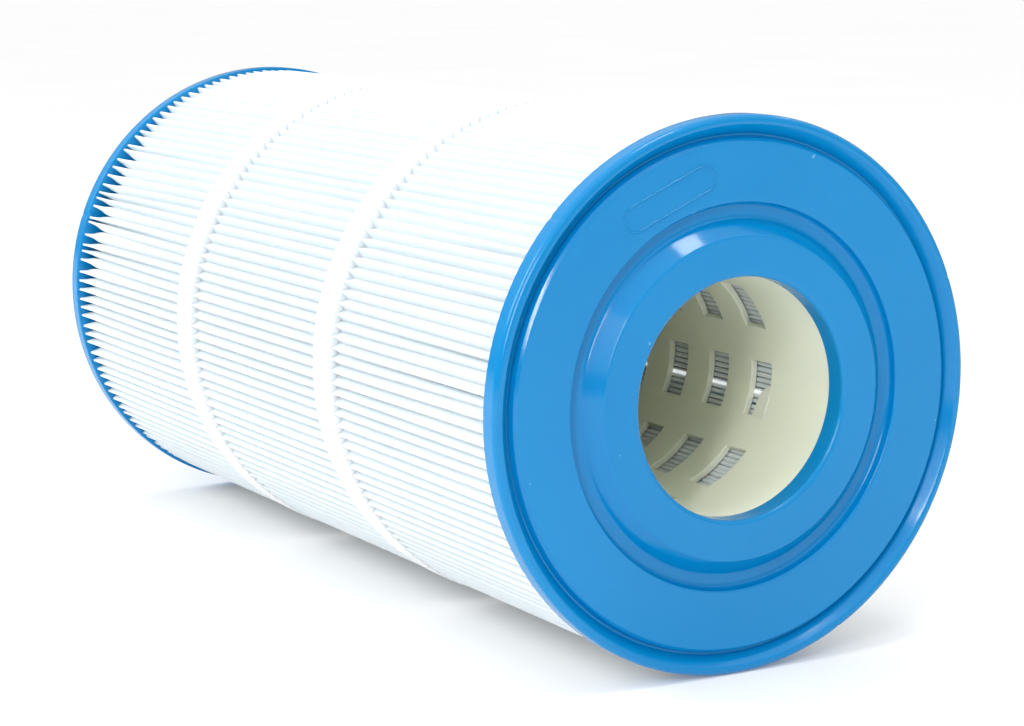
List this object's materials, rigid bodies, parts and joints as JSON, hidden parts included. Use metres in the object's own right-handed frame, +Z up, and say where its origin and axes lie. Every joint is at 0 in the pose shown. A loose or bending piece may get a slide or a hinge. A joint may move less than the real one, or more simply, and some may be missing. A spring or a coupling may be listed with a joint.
{
  "type": "filter cartridge",
  "caption": "Pleated filter cartridge for a pool or spa filter, with a slotted core tube and an open bore through both moulded end caps.",
  "frame": {"origin": "middle of the cartridge's bounding box, half way along its axis", "axes": "+Y along the cartridge's axis from the front cap (the one with the raised blank panel) to the rear cap, +Z up as it lies on its side, +X to the right seen from the front"},
  "size_m": [0.227, 0.4572, 0.227],
  "materials": {
    "end_cap": "gloss",
    "core": "satin",
    "media": "matte",
    "band": "matte",
    "seam": "matte"
  },
  "bodies": {
    "root": {"front_end_cap": "end_cap", "rear_end_cap": "end_cap", "core_tube": "core", "pleated_media": "media", "media_seam": "seam", "front_band": "band", "rear_band": "band"}
  },
  "joints": []
}
